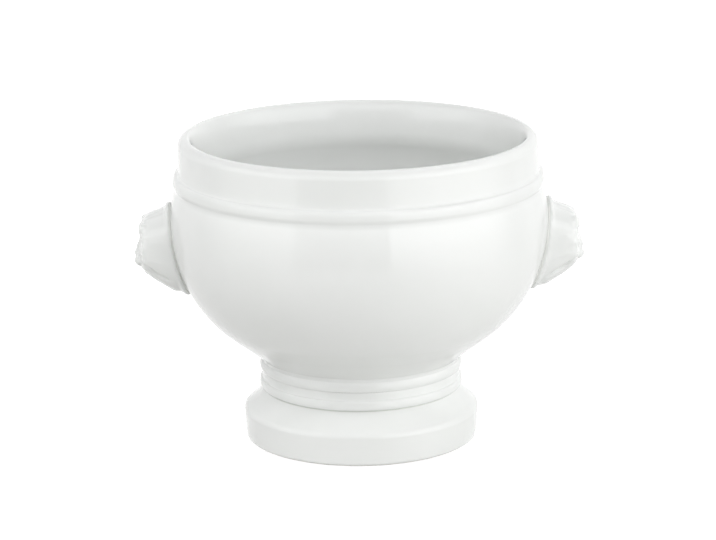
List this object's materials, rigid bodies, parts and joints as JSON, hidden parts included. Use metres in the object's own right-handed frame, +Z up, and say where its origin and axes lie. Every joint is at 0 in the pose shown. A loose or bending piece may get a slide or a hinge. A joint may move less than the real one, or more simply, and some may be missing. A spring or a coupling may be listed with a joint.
{
  "type": "french onion soup crock",
  "caption": "Footed porcelain soup bowl with an upright collar, a rim bead, a moulded hollow foot and a lion-head lug on either side.",
  "frame": {"origin": "middle of the standing ring, on the surface that the crock stands on", "axes": "+Z up through the mouth, +X out through the right lion head's nose, -Y towards the viewer of the picture"},
  "size_m": [0.1508, 0.1266, 0.1035],
  "materials": {
    "glazed_porcelain": "clear gloss glaze over white porcelain",
    "porcelain_slip": "fired slip, matt"
  },
  "bodies": {
    "root": {"bowl": "glazed_porcelain", "pedestal_foot": "glazed_porcelain", "lion_head_left": "glazed_porcelain", "lion_head_right": "glazed_porcelain", "foot_slip_joint": "porcelain_slip", "lion_slip_left": "porcelain_slip", "lion_slip_right": "porcelain_slip"}
  },
  "joints": []
}
